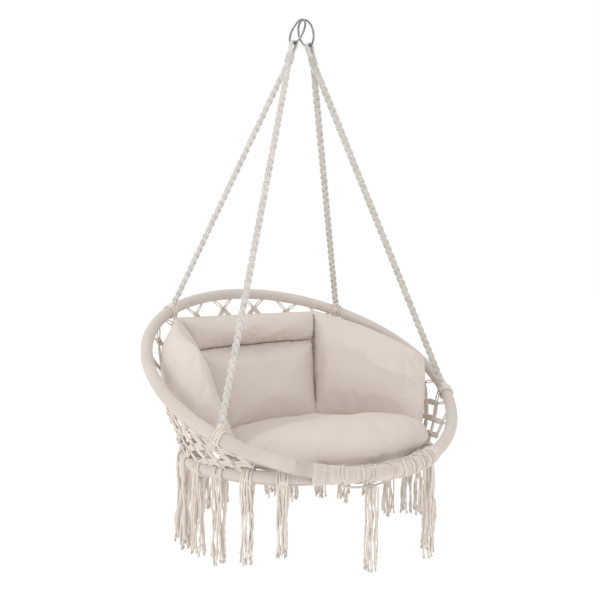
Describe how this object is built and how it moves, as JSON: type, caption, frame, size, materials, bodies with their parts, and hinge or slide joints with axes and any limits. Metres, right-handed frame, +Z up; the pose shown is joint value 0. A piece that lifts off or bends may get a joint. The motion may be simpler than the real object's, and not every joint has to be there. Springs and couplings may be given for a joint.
{
  "type": "hanging hammock chair",
  "caption": "Hanging hammock chair: a large leaning hoop and a small seat hoop joined by a knotted cotton net, hung by ropes from steel rings, with a sewn cushion set and tassels.",
  "frame": {"origin": "where a hook bears inside the tops of the two steel hanging rings", "axes": "+Z up, -Y the front where the seat opens, +X to the right as seen from the front"},
  "size_m": [0.8014, 0.7268, 1.3005],
  "materials": {
    "ring_chrome": "polished steel, a little worn",
    "hoop_steel": "satin paint, hidden in the sleeve",
    "cotton_sleeve": "matt knitted cotton",
    "cotton_cord": "matt twisted cotton",
    "cushion_canvas": "matt woven canvas"
  },
  "bodies": {
    "rings": {"steel_ring_left": "ring_chrome", "steel_ring_right": "ring_chrome"},
    "chair": {"rope_hitch_left": "cotton_cord", "neck_seizing_left": "cotton_cord", "rope_front_left": "cotton_cord", "rope_knot_front_left": "cotton_cord", "rope_back_left": "cotton_cord", "rope_knot_back_left": "cotton_cord", "rope_hitch_right": "cotton_cord", "neck_seizing_right": "cotton_cord", "rope_front_right": "cotton_cord", "rope_knot_front_right": "cotton_cord", "rope_back_right": "cotton_cord", "rope_knot_back_right": "cotton_cord", "main_hoop_tube": "hoop_steel", "main_hoop_sleeve": "cotton_sleeve", "front_lashing": "cotton_cord", "net_right_front": "cotton_cord", "net_right": "cotton_cord", "net_right_back": "cotton_cord", "net_left_back": "cotton_cord", "net_left": "cotton_cord", "net_left_front": "cotton_cord"},
    "seat": {"seat_hoop_tube": "hoop_steel", "seat_hoop_sleeve": "cotton_sleeve", "seat_net": "cotton_cord", "tassel_01": "cotton_cord", "tassel_02": "cotton_cord", "tassel_03": "cotton_cord", "tassel_04": "cotton_cord", "tassel_05": "cotton_cord", "tassel_06": "cotton_cord", "tassel_07": "cotton_cord", "tassel_08": "cotton_cord", "tassel_09": "cotton_cord", "tassel_10": "cotton_cord", "tassel_11": "cotton_cord", "tassel_12": "cotton_cord", "tassel_13": "cotton_cord", "tassel_14": "cotton_cord", "tassel_15": "cotton_cord", "tassel_16": "cotton_cord", "tassel_17": "cotton_cord", "tassel_18": "cotton_cord", "tassel_19": "cotton_cord", "tassel_20": "cotton_cord", "tassel_21": "cotton_cord", "loose_cord": "cotton_cord", "loose_tassel": "cotton_cord"},
    "cushion": {"seat_pad": "cushion_canvas", "seat_front_roll": "cushion_canvas", "back_panel": "cushion_canvas", "back_top_roll": "cushion_canvas", "right_wing": "cushion_canvas", "left_wing": "cushion_canvas"}
  },
  "joints": [
    {"name": "swing", "type": "hinge", "parent": "rings", "child": "chair", "pos_m": [0, 0, -0.0276], "axis": [1, 0, 0], "range_deg": [-25, 25]},
    {"name": "seat_fold", "type": "hinge", "parent": "chair", "child": "seat", "pos_m": [0, -0.3389, -1.0383], "axis": [1, 0, 0], "range_deg": [0, 29], "deforming": ["front_lashing", "net_right_front", "net_right", "net_right_back", "net_left_back", "net_left", "net_left_front", "seat_pad", "seat_front_roll", "back_panel", "back_top_roll", "right_wing", "left_wing"]},
    {"name": "cushion_out", "type": "slide", "parent": "seat", "child": "cushion", "axis": [0, -0.9063, 0.4226], "range_m": [0, 0.9], "deforming": ["seat_front_roll", "right_wing", "left_wing"]}
  ]
}
